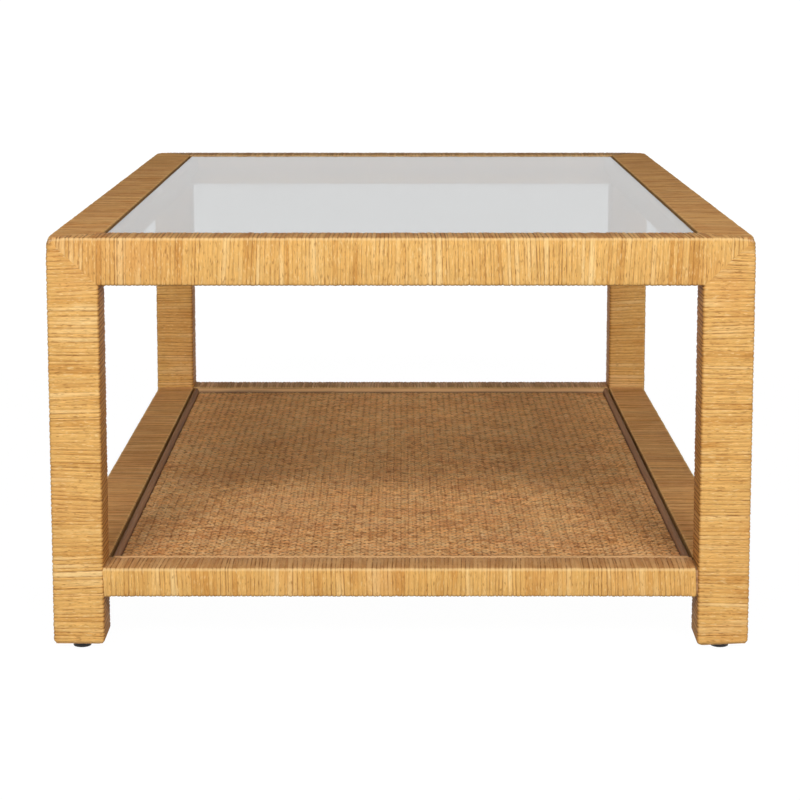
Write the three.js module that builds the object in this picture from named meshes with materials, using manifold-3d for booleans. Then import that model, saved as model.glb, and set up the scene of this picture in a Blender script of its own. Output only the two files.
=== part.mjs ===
// Rattan-wrapped coffee table with an inset glass top and a woven lower shelf.
// Millimetres, +Z up. The origin is on the floor under the centre of the table.
// The long side runs along Y, and the front short side faces -Y.

import * as THREE from 'three';
import { mergeVertices } from 'three/addons/utils/BufferGeometryUtils.js';
import Module from 'manifold-3d';

const wasm = await Module();
wasm.setup();

// Overall size
const tableWidth = 762;
const tableLength = 1219;
const tableHeight = 457;

// Clearance left wherever two pieces meet
const fitGap = 0.3;

// Wrapped members: legs and top rails share one section width
const memberSide = 57;
const topRailHeight = 53;
const wrapThickness = 2.5;
const edgeRadius = 5;
const edgeSteps = 4;
const coreEdgeRadius = 2;

// Lower shelf frame
const shelfRailTop = 94;
const shelfRailHeight = 33;
const shelfRailSetback = 1.5;

// Mortise and tenon joints
const tenonLength = 16;
const tenonThickness = 14;
const tenonShoulder = 6;
const tenonRoot = 4;

// Shelf floor
const shelfRecess = 7;
const matThickness = 2;
const panelThickness = 9;
const panelGap = 1;
const cleatWidth = 12;
const cleatHeight = 14;
const bearerWidth = 40;
const mouldingWidth = 8;
const mouldingHeight = 6.2;
const mouldingStandoff = 1;
const mouldingSteps = 10;

// Glass top and what carries it
const glassThickness = 8;
const glassRecess = 2;
const glassGap = 2;
const glassCornerRadius = 6;
const ledgeWidth = 12;
const ledgeHeight = 18;
const bumperRadius = 5;
const bumperHeight = 1.2;

// Levelling feet
const legLift = 8.2;
const coreLift = 1;
const padRadius = 10;
const padHeight = 4.5;
const padEdge = 1.4;
const socketLip = 0.9;
const collarAcrossFlats = 13;
const collarHeight = 3;
const stemRadius = 4;
const stemTop = 43;
const stemChamfer = 1;
const socketFloor = 2.2;
const ballRadius = 5.2;
const runningGap = 0.3;
const insertWall = 2.2;
const insertLength = 20;
const stemWellDepth = 38;
const roundSteps = 24;

// Places that follow from the sizes above
const halfWidth = tableWidth / 2;
const halfLength = tableLength / 2;
const openingHalfWidth = halfWidth - memberSide;
const openingHalfLength = halfLength - memberSide;
const coreInset = wrapThickness + fitGap;
const coreSide = memberSide - 2 * coreInset;
const hollowSide = memberSide - 2 * wrapThickness;
const shelfRailWidth = memberSide - shelfRailSetback;
const shelfRailMiddle = shelfRailTop - shelfRailHeight / 2;
const shelfRailOffset = shelfRailSetback / 2;
const topRailMiddle = tableHeight - topRailHeight / 2;
const legTop = tableHeight;
const legMiddle = (legLift + legTop) / 2;
const legLength = legTop - legLift;
const coreBottom = legLift + coreLift;
const coreTop = tableHeight - coreInset;
const matTop = shelfRailTop - shelfRecess;
const panelTop = matTop - matThickness - fitGap;
const cleatTop = panelTop - panelThickness - fitGap;
const glassTop = tableHeight - glassRecess;
const glassBottom = glassTop - glassThickness;
const bumperTop = glassBottom - fitGap;
const ledgeTop = bumperTop - bumperHeight - fitGap;

// Finishes
const finishes = {
  rattan: { color: 0xdcae72, roughness: 0.55, metalness: 0 },
  hardwood: { color: 0xb88c5c, roughness: 0.75, metalness: 0 },
  plywood: { color: 0xc4a071, roughness: 0.8, metalness: 0 },
  mat: { color: 0xa87b50, roughness: 0.7, metalness: 0 },
  moulding: { color: 0x7a5b42, roughness: 0.6, metalness: 0 },
  glass: { color: 0xd9dfdf, roughness: 0.05, metalness: 0, transparent: true, opacity: 0.35 },
  clearRubber: { color: 0xe6e8e6, roughness: 0.4, metalness: 0 },
  blackPlastic: { color: 0x17171a, roughness: 0.5, metalness: 0 },
  steel: { color: 0x9a9c9e, roughness: 0.35, metalness: 1 },
  brass: { color: 0xb58a45, roughness: 0.4, metalness: 1 },
};

const table = new THREE.Group();

// Adds one named piece to a group, at a place in that group.
function addPiece(parent, name, geometry, finish, position = [0, 0, 0]) {
  const mesh = new THREE.Mesh(geometry, new THREE.MeshStandardMaterial(finishes[finish]));
  mesh.name = name;
  mesh.position.set(...position);
  parent.add(mesh);
  return mesh;
}

// A group turned about Z by whole quarter turns and set at a place.
function placedGroup(x, y, quarterTurns) {
  const group = new THREE.Group();
  group.position.set(x, y, 0);
  group.rotation.z = quarterTurns * Math.PI / 2;
  table.add(group);
  return group;
}

// Turns a closed geometry into a solid that can be joined and cut.
function toSolid(geometry) {
  const bare = geometry.clone();
  bare.deleteAttribute('normal');
  bare.deleteAttribute('uv');
  const merged = mergeVertices(bare, 1e-4);
  return new wasm.Manifold(new wasm.Mesh({
    numProp: 3,
    vertProperties: new Float32Array(merged.attributes.position.array),
    triVerts: new Uint32Array(merged.index.array),
  }));
}

// Turns a solid back into a geometry with flat faces.
function toGeometry(solid) {
  const mesh = solid.getMesh();
  const geometry = new THREE.BufferGeometry();
  geometry.setAttribute('position', new THREE.BufferAttribute(new Float32Array(mesh.vertProperties), 3));
  geometry.setIndex(new THREE.BufferAttribute(new Uint32Array(mesh.triVerts), 1));
  const flat = geometry.toNonIndexed();
  flat.computeVertexNormals();
  return flat;
}

// A box from its low corner to its high corner.
function boxBetween(low, high) {
  const size = high.map((value, axis) => value - low[axis]);
  const middle = high.map((value, axis) => (value + low[axis]) / 2);
  return new THREE.BoxGeometry(...size).translate(...middle);
}

// A rectangle with round corners, centred on the origin.
function roundedRectangle(width, height, radius) {
  const x = width / 2;
  const y = height / 2;
  const shape = new THREE.Shape();
  shape.moveTo(x - radius, -y);
  shape.absarc(x - radius, -y + radius, radius, -Math.PI / 2, 0, false);
  shape.absarc(x - radius, y - radius, radius, 0, Math.PI / 2, false);
  shape.absarc(-x + radius, y - radius, radius, Math.PI / 2, Math.PI, false);
  shape.absarc(-x + radius, -y + radius, radius, Math.PI, Math.PI * 1.5, false);
  shape.closePath();
  return shape;
}

// A bar along Z with every edge rounded, centred on the origin.
function roundedBar(width, height, length, radius) {
  const endRound = radius * 0.9;
  return new THREE.ExtrudeGeometry(roundedRectangle(width, height, radius), {
    depth: length - 2 * endRound,
    curveSegments: edgeSteps,
    bevelEnabled: true,
    bevelThickness: endRound,
    bevelSize: endRound,
    bevelOffset: -endRound,
    bevelSegments: edgeSteps,
  }).translate(0, 0, -length / 2 + endRound);
}

// A square-ended bar along Z with rounded long edges, centred on the origin.
function plainBar(width, height, length, radius) {
  return new THREE.ExtrudeGeometry(roundedRectangle(width, height, radius), {
    depth: length,
    curveSegments: 2,
    bevelEnabled: false,
  }).translate(0, 0, -length / 2);
}

// Turns a bar that lies along Z so that it lies along X, its height still upright.
function alongX(geometry) {
  return geometry.rotateZ(Math.PI / 2).rotateY(Math.PI / 2);
}

// Removes what lies beyond a plane, on the side that the direction points to.
function cutBeyond(solid, point, direction) {
  const reach = 2 * tableLength;
  const normal = new THREE.Vector3(...direction).normalize();
  const turn = new THREE.Quaternion().setFromUnitVectors(new THREE.Vector3(0, 0, 1), normal);
  const place = new THREE.Vector3(...point).addScaledVector(normal, -fitGap / 2);
  const block = new THREE.BoxGeometry(reach, reach, reach).translate(0, 0, reach / 2);
  block.applyQuaternion(turn).translate(place.x, place.y, place.z);
  return solid.subtract(toSolid(block));
}

// The box that one tenon fills, for a rail along +X of a leg centred on the origin.
function tenonBox(middleY, middleZ, railCoreHeight, gap) {
  const face = coreSide / 2;
  const halfThickness = tenonThickness / 2 + gap;
  const halfHeight = railCoreHeight / 2 - tenonShoulder + gap;
  return boxBetween(
    [face - tenonLength - gap, middleY - halfThickness, middleZ - halfHeight],
    [face + fitGap + tenonRoot, middleY + halfThickness, middleZ + halfHeight],
  );
}

// The same geometry mirrored across the plane x = y, for a rail along +Y.
function swapXY(solid) {
  return solid.mirror([1, -1, 0]);
}

const topCoreHeight = topRailHeight - 2 * coreInset;
const shelfCoreHeight = shelfRailHeight - 2 * coreInset;
const shelfCoreWidth = shelfRailWidth - 2 * coreInset;

// Wooden core of a leg, with its mortises and the stepped hole for the foot.
function legCore() {
  const length = coreTop - coreBottom;
  const bar = plainBar(coreSide, coreSide, length, coreEdgeRadius).translate(0, 0, coreBottom + length / 2);
  const topMortise = toSolid(tenonBox(0, topRailMiddle, topCoreHeight, fitGap));
  const shelfMortise = toSolid(tenonBox(shelfRailOffset, shelfRailMiddle, shelfCoreHeight, fitGap));
  const insertHole = new THREE.CylinderGeometry(
    stemRadius + runningGap + insertWall + fitGap,
    stemRadius + runningGap + insertWall + fitGap,
    insertLength + 2 * fitGap,
    roundSteps,
  ).rotateX(Math.PI / 2).translate(0, 0, coreBottom + insertLength / 2);
  const stemWell = new THREE.CylinderGeometry(
    stemRadius + runningGap,
    stemRadius + runningGap,
    stemWellDepth,
    roundSteps,
  ).rotateX(Math.PI / 2).translate(0, 0, coreBottom + stemWellDepth / 2);
  const solid = toSolid(bar)
    .subtract(topMortise)
    .subtract(swapXY(topMortise))
    .subtract(shelfMortise)
    .subtract(swapXY(shelfMortise))
    .subtract(toSolid(insertHole))
    .subtract(toSolid(stemWell));
  return toGeometry(solid);
}

// The hollow that the cores of one top corner fill, around a leg at the origin.
function cornerHollow() {
  const reach = tableLength;
  const half = hollowSide / 2;
  const legHollow = toSolid(boxBetween([-half, -half, -reach], [half, half, legTop - wrapThickness]));
  const railLow = tableHeight - topRailHeight + wrapThickness;
  const railHollow = toSolid(boxBetween([-half, -half, railLow], [reach, half, legTop - wrapThickness]));
  return legHollow.add(railHollow).add(swapXY(railHollow));
}

// The three planes that part the wraps at a top corner, for a leg at the origin.
const cornerPoint = [-memberSide / 2, -memberSide / 2, tableHeight];
const legFromRailX = [1 / memberSide, 0, 1 / topRailHeight];
const legFromRailY = [0, 1 / memberSide, 1 / topRailHeight];
const reversed = (direction) => direction.map((value) => -value);

// Rattan skin of a leg: mitred into both top rails, with windows for the shelf rails.
function legWrap() {
  const bar = roundedBar(memberSide, memberSide, legLength, edgeRadius).translate(0, 0, legMiddle);
  const low = shelfRailTop - shelfRailHeight + wrapThickness;
  const high = shelfRailTop - wrapThickness;
  const near = -memberSide / 2 + shelfRailSetback + wrapThickness;
  const window = toSolid(boxBetween([0, near, low], [memberSide, memberSide / 2 - wrapThickness, high]));
  let solid = toSolid(bar).subtract(cornerHollow()).subtract(window).subtract(swapXY(window));
  solid = cutBeyond(solid, cornerPoint, legFromRailX);
  solid = cutBeyond(solid, cornerPoint, legFromRailY);
  return toGeometry(solid);
}

// Rattan skin of a top rail along X, its outer face towards -Y, mitred at both ends.
function topRailWrap(length) {
  const bar = alongX(roundedBar(memberSide, topRailHeight, length, edgeRadius))
    .translate(0, 0, topRailMiddle);
  const legX = length / 2 - memberSide / 2;
  let solid = toSolid(bar);
  for (const side of [-1, 1]) {
    const hollow = side < 0 ? cornerHollow() : cornerHollow().mirror([1, 0, 0]);
    solid = solid.subtract(hollow.translate([side * legX, 0, 0]));
    const corner = [side * length / 2, -memberSide / 2, tableHeight];
    solid = cutBeyond(solid, corner, [side * legFromRailX[0], 0, -legFromRailX[2]]);
    solid = cutBeyond(solid, corner, [side, 1, 0]);
  }
  return toGeometry(solid);
}

// Wooden core of a rail along X between two legs, with a tenon on each end.
function railCore(length, width, height, middleY, middleZ) {
  const legX = length / 2 - memberSide / 2;
  const bodyLength = 2 * (legX - coreSide / 2 - fitGap);
  const bar = alongX(plainBar(width, height, bodyLength, coreEdgeRadius)).translate(0, middleY, middleZ);
  const tenon = toSolid(tenonBox(middleY, middleZ, height, 0)).translate([-legX, 0, 0]);
  return toGeometry(toSolid(bar).add(tenon).add(tenon.mirror([1, 0, 0])));
}

// Rattan skin of a shelf rail along X, from leg to leg.
function shelfRailWrap(length) {
  const outline = roundedRectangle(shelfRailWidth, shelfRailHeight, edgeRadius);
  const hollow = roundedRectangle(
    shelfRailWidth - 2 * wrapThickness,
    shelfRailHeight - 2 * wrapThickness,
    coreEdgeRadius,
  );
  outline.holes.push(new THREE.Path(hollow.getPoints(2).reverse()));
  const span = length - 2 * memberSide - 2 * fitGap;
  const sleeve = new THREE.ExtrudeGeometry(outline, {
    depth: span,
    curveSegments: edgeSteps,
    bevelEnabled: false,
  }).translate(0, 0, -span / 2);
  return alongX(sleeve).translate(0, shelfRailOffset, shelfRailMiddle);
}

// Moulding along X beside the mat, half round above it, its outer edge on y = 0 and its ends mitred.
function moulding(outerHalfLength) {
  const shape = new THREE.Shape();
  shape.moveTo(-mouldingWidth / 2, -matThickness);
  shape.lineTo(mouldingWidth / 2, -matThickness);
  shape.absellipse(0, 0, mouldingWidth / 2, mouldingHeight, 0, Math.PI, false, 0);
  shape.closePath();
  const length = 2 * outerHalfLength;
  const strip = alongX(new THREE.ExtrudeGeometry(shape, {
    depth: length,
    curveSegments: mouldingSteps,
    bevelEnabled: false,
  }).translate(0, 0, -length / 2)).translate(0, mouldingWidth / 2, matTop);
  let solid = toSolid(strip);
  for (const side of [-1, 1]) {
    solid = cutBeyond(solid, [side * outerHalfLength, 0, 0], [side, 1, 0]);
  }
  return toGeometry(solid);
}

// Round foot pad with a socket for the stem's end.
function footPad() {
  const mouth = stemRadius + runningGap;
  const socket = ballRadius + runningGap;
  const socketTop = padHeight - socketLip;
  const profile = [
    [0, 0],
    [padRadius - padEdge, 0],
    [padRadius - padEdge * 0.3, padEdge * 0.3],
    [padRadius, padEdge],
    [padRadius, padHeight - padEdge / 2],
    [padRadius - padEdge / 2, padHeight],
    [mouth, padHeight],
    [mouth, socketTop],
    [socket, socketTop],
    [socket, socketFloor - fitGap],
    [0, socketFloor - fitGap],
  ].map(([r, z]) => new THREE.Vector2(r, z));
  return new THREE.LatheGeometry(profile, roundSteps).rotateX(Math.PI / 2);
}

// Threaded stem with its hexagonal collar and the button end that the pad holds.
function footStem() {
  const buttonTop = padHeight - socketLip - fitGap;
  const profile = [
    [0, socketFloor],
    [ballRadius, socketFloor],
    [ballRadius, buttonTop],
    [stemRadius, buttonTop],
    [stemRadius, stemTop - stemChamfer],
    [stemRadius - stemChamfer, stemTop],
    [0, stemTop],
  ].map(([r, z]) => new THREE.Vector2(r, z));
  const turned = new THREE.LatheGeometry(profile, roundSteps).rotateX(Math.PI / 2);
  const cornerRadius = collarAcrossFlats / 2 / Math.cos(Math.PI / 6);
  const collar = new THREE.CylinderGeometry(cornerRadius, cornerRadius, collarHeight, 6)
    .rotateX(Math.PI / 2)
    .translate(0, 0, padHeight + fitGap + collarHeight / 2);
  return toGeometry(toSolid(turned).add(toSolid(collar)));
}

// Threaded sleeve set into the leg's end grain.
function footInsert() {
  const bore = stemRadius + runningGap;
  const outside = bore + insertWall;
  const profile = [
    [bore, coreBottom],
    [outside, coreBottom],
    [outside, coreBottom + insertLength],
    [bore, coreBottom + insertLength],
    [bore, coreBottom],
  ].map(([r, z]) => new THREE.Vector2(r, z));
  return new THREE.LatheGeometry(profile, roundSteps).rotateX(Math.PI / 2);
}

// Legs and feet, one turned group at each corner
const legX = halfWidth - memberSide / 2;
const legY = halfLength - memberSide / 2;
const corners = [
  { name: 'front_left', x: -legX, y: -legY, quarterTurns: 0 },
  { name: 'front_right', x: legX, y: -legY, quarterTurns: 1 },
  { name: 'back_right', x: legX, y: legY, quarterTurns: 2 },
  { name: 'back_left', x: -legX, y: legY, quarterTurns: 3 },
];
for (const corner of corners) {
  const leg = placedGroup(corner.x, corner.y, corner.quarterTurns);
  addPiece(leg, `leg_core_${corner.name}`, legCore(), 'hardwood');
  addPiece(leg, `leg_wrap_${corner.name}`, legWrap(), 'rattan');
  addPiece(leg, `foot_insert_${corner.name}`, footInsert(), 'brass');
  addPiece(leg, `foot_stem_${corner.name}`, footStem(), 'steel');
  addPiece(leg, `foot_pad_${corner.name}`, footPad(), 'blackPlastic');
}

// Rails, mouldings, ledges and cleats, one turned group on each side
const sides = [
  { name: 'front', x: 0, y: -legY, quarterTurns: 0, length: tableWidth, across: openingHalfLength },
  { name: 'right', x: legX, y: 0, quarterTurns: 1, length: tableLength, across: openingHalfWidth },
  { name: 'back', x: 0, y: legY, quarterTurns: 2, length: tableWidth, across: openingHalfLength },
  { name: 'left', x: -legX, y: 0, quarterTurns: 3, length: tableLength, across: openingHalfWidth },
];
for (const side of sides) {
  const rail = placedGroup(side.x, side.y, side.quarterTurns);
  const topCore = railCore(side.length, coreSide, topCoreHeight, 0, topRailMiddle);
  addPiece(rail, `top_rail_core_${side.name}`, topCore, 'hardwood');
  addPiece(rail, `top_rail_wrap_${side.name}`, topRailWrap(side.length), 'rattan');
  const lowCore = railCore(side.length, shelfCoreWidth, shelfCoreHeight, shelfRailOffset, shelfRailMiddle);
  addPiece(rail, `shelf_rail_core_${side.name}`, lowCore, 'hardwood');
  addPiece(rail, `shelf_rail_wrap_${side.name}`, shelfRailWrap(side.length), 'rattan');

  // Strips that lie against the inner face of the rails
  const isEnd = side.quarterTurns % 2 === 0;
  const innerFace = memberSide / 2 + fitGap;
  const openingHalfLengthHere = side.length / 2 - memberSide;
  const ledgeTrim = isEnd ? fitGap : ledgeWidth + 2 * fitGap;
  const ledgeHalf = openingHalfLengthHere - ledgeTrim;
  const ledge = boxBetween(
    [-ledgeHalf, innerFace, ledgeTop - ledgeHeight],
    [ledgeHalf, innerFace + ledgeWidth, ledgeTop],
  );
  addPiece(rail, `glass_ledge_${side.name}`, ledge, 'hardwood');
  const cleatTrim = isEnd ? fitGap : cleatWidth + 2 * fitGap;
  const cleatHalf = openingHalfLengthHere - cleatTrim;
  const cleat = boxBetween(
    [-cleatHalf, innerFace, cleatTop - cleatHeight],
    [cleatHalf, innerFace + cleatWidth, cleatTop],
  );
  addPiece(rail, `shelf_cleat_${side.name}`, cleat, 'hardwood');

  const strip = moulding(openingHalfLengthHere - mouldingStandoff);
  const stripY = memberSide / 2 + mouldingStandoff;
  addPiece(rail, `shelf_moulding_${side.name}`, strip, 'moulding', [0, stripY, 0]);
}

// Shelf floor
const panelLow = [-openingHalfWidth + panelGap, -openingHalfLength + panelGap, panelTop - panelThickness];
const panelHigh = [openingHalfWidth - panelGap, openingHalfLength - panelGap, panelTop];
addPiece(table, 'shelf_panel', boxBetween(panelLow, panelHigh), 'plywood');
const matHalfWidth = openingHalfWidth - mouldingStandoff - mouldingWidth - fitGap;
const matHalfLength = openingHalfLength - mouldingStandoff - mouldingWidth - fitGap;
const matLow = [-matHalfWidth, -matHalfLength, matTop - matThickness];
const matHigh = [matHalfWidth, matHalfLength, matTop];
addPiece(table, 'shelf_mat', boxBetween(matLow, matHigh), 'mat');
const bearerHalf = openingHalfWidth - cleatWidth - 2 * fitGap;
const bearer = boxBetween(
  [-bearerHalf, -bearerWidth / 2, cleatTop - cleatHeight],
  [bearerHalf, bearerWidth / 2, cleatTop],
);
addPiece(table, 'shelf_bearer', bearer, 'hardwood');

// Glass top and its bumpers
const glassOutline = roundedRectangle(
  2 * (openingHalfWidth - glassGap),
  2 * (openingHalfLength - glassGap),
  glassCornerRadius,
);
const glass = new THREE.ExtrudeGeometry(glassOutline, {
  depth: glassThickness,
  curveSegments: edgeSteps,
  bevelEnabled: false,
});
addPiece(table, 'glass_top', glass, 'glass', [0, 0, glassBottom]);
const bumperX = openingHalfWidth - fitGap - ledgeWidth / 2;
const bumperY = openingHalfLength - fitGap - ledgeWidth / 2;
const bumperRows = { front: -bumperY, middle: 0, back: bumperY };
for (const [row, y] of Object.entries(bumperRows)) {
  for (const [side, x] of [['left', -bumperX], ['right', bumperX]]) {
    const bumper = new THREE.CylinderGeometry(bumperRadius, bumperRadius, bumperHeight, roundSteps / 2)
      .rotateX(Math.PI / 2);
    const place = [x, y, bumperTop - bumperHeight / 2];
    addPiece(table, `glass_bumper_${row}_${side}`, bumper, 'clearRubber', place);
  }
}

export default table;
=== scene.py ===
"""Looks of a rattan-wrapped coffee table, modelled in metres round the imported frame."""

import math

import bmesh
import bpy
import numpy as np
from bpy.props import FloatProperty, FloatVectorProperty, IntProperty, PointerProperty
from bpy.types import Operator, Panel, PropertyGroup
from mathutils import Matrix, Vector


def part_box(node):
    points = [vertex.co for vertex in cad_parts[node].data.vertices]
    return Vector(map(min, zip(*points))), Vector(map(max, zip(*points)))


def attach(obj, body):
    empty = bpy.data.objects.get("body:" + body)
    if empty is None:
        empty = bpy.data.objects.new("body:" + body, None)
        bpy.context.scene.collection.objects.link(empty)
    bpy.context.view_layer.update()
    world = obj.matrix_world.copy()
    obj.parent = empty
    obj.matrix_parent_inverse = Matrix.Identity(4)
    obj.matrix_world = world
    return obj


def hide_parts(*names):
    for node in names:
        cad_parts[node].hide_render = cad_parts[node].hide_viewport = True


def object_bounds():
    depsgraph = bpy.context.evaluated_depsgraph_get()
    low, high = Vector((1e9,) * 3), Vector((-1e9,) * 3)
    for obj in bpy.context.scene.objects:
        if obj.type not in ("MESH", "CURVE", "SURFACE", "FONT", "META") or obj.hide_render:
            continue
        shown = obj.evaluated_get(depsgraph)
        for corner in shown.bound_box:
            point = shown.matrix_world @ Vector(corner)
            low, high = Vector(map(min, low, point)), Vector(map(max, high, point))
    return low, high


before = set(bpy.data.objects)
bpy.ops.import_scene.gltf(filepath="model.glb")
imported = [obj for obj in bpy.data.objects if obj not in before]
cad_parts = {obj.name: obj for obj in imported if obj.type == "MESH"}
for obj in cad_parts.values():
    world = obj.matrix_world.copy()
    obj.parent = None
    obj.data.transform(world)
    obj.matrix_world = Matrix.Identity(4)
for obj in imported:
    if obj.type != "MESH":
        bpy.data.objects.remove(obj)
cad_box = [list(corner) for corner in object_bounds()]

bl_info = {
    "name": "Rattan Coffee Table",
    "version": (1, 0, 0),
    "blender": (4, 5, 0),
    "location": "View3D > Sidebar > Rattan Table",
    "description": "Winds, weaves and glazes a rattan-wrapped coffee table",
    "category": "Add Mesh",
}

SIDES = {"front": (0, -1), "right": (1, 0), "back": (0, 1), "left": (-1, 0)}
CORNERS = {
    "front_left": (-1, -1),
    "front_right": (1, -1),
    "back_right": (1, 1),
    "back_left": (-1, 1),
}
X, Y, Z = range(3)

# A face whose normal reaches this far along an axis counts as facing along it
FACING = 0.9
# The numbers that windings, and the mat's strands and floats, start from, so that each has its
# own tone
FIRST_TURNS_APART = 1000
FIRST_CROSS_STRAND = 5000
FIRST_CROSS_FLOAT = 70000
STRANDS_APART = 400
# The camera's place, its dip below level in radians, and its shift to the photograph's framing
CAMERA_PLACE = (0.0006, -3.1976, 0.7419)
CAMERA_DIP = 0.1468
CAMERA_SHIFT = (-0.0018, -0.09)

table_low, table_high = (Vector(corner) for corner in cad_box)
member_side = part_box("leg_wrap_front_left")[1][X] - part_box("leg_wrap_front_left")[0][X]
rail_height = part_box("top_rail_wrap_front")[1][Z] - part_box("top_rail_wrap_front")[0][Z]


def srgb(red, green, blue):
    """The linear colour that Blender mixes, from one written as it looks on a screen, 0 to 255."""
    levels = [level / 255 for level in (red, green, blue)]
    return tuple(v / 12.92 if v <= 0.04045 else ((v + 0.055) / 1.055) ** 2.4 for v in levels)


def a_colour(name, description, default):
    """A colour that the user can change."""
    return FloatVectorProperty(
        name=name, description=description, default=default, subtype="COLOR", min=0.0, max=1.0
    )


def a_number(name, description, default, **more):
    """A number that the user can change."""
    return FloatProperty(name=name, description=description, default=default, **more)


def a_length(name, description, default, **more):
    """A length in metres that the user can change."""
    return a_number(name, description, default, unit="LENGTH", **more)


def a_share(name, description, default, low, high):
    """A share between two limits that the user can change."""
    return a_number(name, description, default, subtype="FACTOR", min=low, max=high)


class RattanSettings(PropertyGroup):
    pitch: a_length(
        "Strip pitch", "Distance from one turn of split rattan to the next", 0.00468, min=0.002
    )
    shoulder: a_share(
        "Shoulder", "Share of a strip's width taken by each rounded edge", 0.24, 0.05, 0.45
    )
    groove: a_length(
        "Groove depth", "How far the joint between two turns lies below the strips", 0.0005, min=0.0
    )
    corner_radius: a_length(
        "Corner radius", "Radius at which a strip bends round an edge of the member", 0.0038
    )
    corner_steps: IntProperty(
        name="Corner steps", description="Faces round each bend of a strip", default=3, min=1, max=8
    )
    soft_corner: a_length(
        "Soft corner", "Radius to which strips are pressed round at the outer top corners", 0.010
    )
    wander: a_length("Wander", "How far the joints between strips stray sideways", 0.0016)
    drift: a_length("Drift", "How far whole runs of strips lean out of square", 0.007)
    variety: a_share(
        "Variety", "How far strips differ in width, as a share of the pitch", 0.3, 0.0, 0.45
    )
    unevenness: a_length(
        "Unevenness", "How far strips stand proud of or below their neighbours", 0.0009
    )
    wall: a_length(
        "Strip thickness", "Thickness shown where a winding is cut at a mitre", 0.0018
    )
    straw: a_colour("Straw", "Colour of the palest strips", srgb(244, 204, 138))
    honey: a_colour("Honey", "Colour of most strips", srgb(228, 178, 104))
    amber: a_colour("Amber", "Colour of the deepest strips", srgb(206, 150, 78))
    joint_brown: a_colour(
        "Joint brown", "Colour down in the joints between strips", srgb(138, 88, 42)
    )


class ShelfSettings(PropertyGroup):
    warp: a_length(
        "Long strand width", "Width of each strand that runs along the table", 0.00467
    )
    weft: a_length(
        "Cross strand width", "Width of each strand that runs across the table", 0.0035
    )
    dive: a_length("Dive", "How far a strand drops where it passes under the next", 0.0009)
    mat_light: a_colour(
        "Light strand", "Colour of the palest mat strands", srgb(250, 202, 140)
    )
    mat_dark: a_colour(
        "Dark strand", "Colour of the deepest mat strands", srgb(206, 142, 82)
    )
    # The end and side mouldings are one wood; the side ones are painted darker, as painted shade
    end_moulding: a_colour(
        "End mouldings", "Colour of the mouldings at the table's two ends", srgb(214, 166, 112)
    )
    side_moulding: a_colour(
        "Side mouldings", "Colour of the mouldings along the two long sides", srgb(153, 108, 71)
    )


class GlassSettings(PropertyGroup):
    corner_radius: a_length("Corner radius", "Radius of the sheet's four corners", 0.006)
    arris: a_length("Arris", "Width of the ground edge along the sheet's rims", 0.0008)
    tint: a_colour(
        "Tint", "Colour that the sheet gives to what is seen through it", srgb(211, 214, 215)
    )
    clarity: a_share(
        "Clarity", "Share of the light in the sheet that passes straight through", 0.92, 0.0, 1.0
    )


class StageSettings(PropertyGroup):
    front_power: a_number(
        "Front lamps", "Power of each of the two soft lamps beside the camera", 92.0, unit="POWER"
    )
    back_power: a_number(
        "Back lamps", "Power of each of the two soft lamps behind the table", 34.0, unit="POWER"
    )
    horizon: a_number(
        "Horizon", "Brightness of the studio's walls just above the floor", 0.74
    )
    low_sky: a_number(
        "Low sky", "Brightness of the studio round the table, a little higher up", 0.14
    )
    high_sky: a_number("High sky", "Brightness of the studio overhead", 0.1)
    lens: a_number("Lens", "Focal length on a 36 mm wide sensor, in millimetres", 109.58)


# Choosing and shaping


def start_clean():
    """Leaves every object deselected, in object mode."""
    if bpy.context.object and bpy.context.object.mode != "OBJECT":
        close_edit()
    bpy.ops.object.select_all(action="DESELECT")


def work_on(piece):
    """Makes one object the only selected and the active one."""
    start_clean()
    piece.select_set(True)
    bpy.context.view_layer.objects.active = piece


def edit(piece):
    """Opens one piece's mesh in edit mode."""
    work_on(piece)
    bpy.ops.object.mode_set(mode="EDIT")


def close_edit():
    """Goes back to object mode."""
    bpy.ops.object.mode_set(mode="OBJECT")


def corners_of(node):
    """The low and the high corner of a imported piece."""
    return [Vector(corner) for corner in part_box(node)]


def choose(kind, test):
    """Selects the vertices, edges or faces of the mesh in edit mode that pass a test."""
    bpy.ops.mesh.select_mode(type=kind)
    bpy.ops.mesh.select_all(action="DESELECT")
    mesh = bmesh.from_edit_mesh(bpy.context.object.data)
    for item in {"VERT": mesh.verts, "EDGE": mesh.edges, "FACE": mesh.faces}[kind]:
        if test(item):
            item.select_set(True)
    mesh.select_flush_mode()
    bmesh.update_edit_mesh(bpy.context.object.data)


def bevel_edges(width, steps):
    """Rounds the chosen edges of the mesh in edit mode."""
    bpy.ops.mesh.bevel(offset=width, offset_type="OFFSET", segments=steps, affect="EDGES")


def lift(height):
    """Raises what is chosen of the mesh in edit mode."""
    bpy.ops.transform.translate(value=(0, 0, height))


def box_piece(name, low, high):
    """A box between two corners, with its place in its mesh."""
    start_clean()
    bpy.ops.mesh.primitive_cube_add(size=1, location=(low + high) / 2)
    piece = bpy.context.object
    piece.name = piece.data.name = name
    piece.scale = high - low
    bpy.ops.object.transform_apply(location=True, rotation=False, scale=True)
    return piece


def apply_modifier(piece, kind, **values):
    """Adds one modifier, gives it its values and applies it."""
    work_on(piece)
    modifier = piece.modifiers.new(kind.lower(), kind)
    for key, value in values.items():
        setattr(modifier, key, value)
    bpy.ops.object.modifier_apply(modifier=modifier.name)


def repeat(piece, count, step, **settings):
    """Copies a piece in a row, each copy one step from the last."""
    apply_modifier(
        piece, "ARRAY", count=count, use_relative_offset=False, use_constant_offset=True,
        constant_offset_displace=step, **settings,
    )


def unit(axis):
    """The unit vector of an axis."""
    return Vector([float(i == axis) for i in range(3)])


def cut(place, normal, **settings):
    """Cuts the selected faces of the mesh in edit mode along a plane."""
    bpy.ops.mesh.bisect(plane_co=place, plane_no=normal, threshold=1e-7, **settings)


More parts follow.
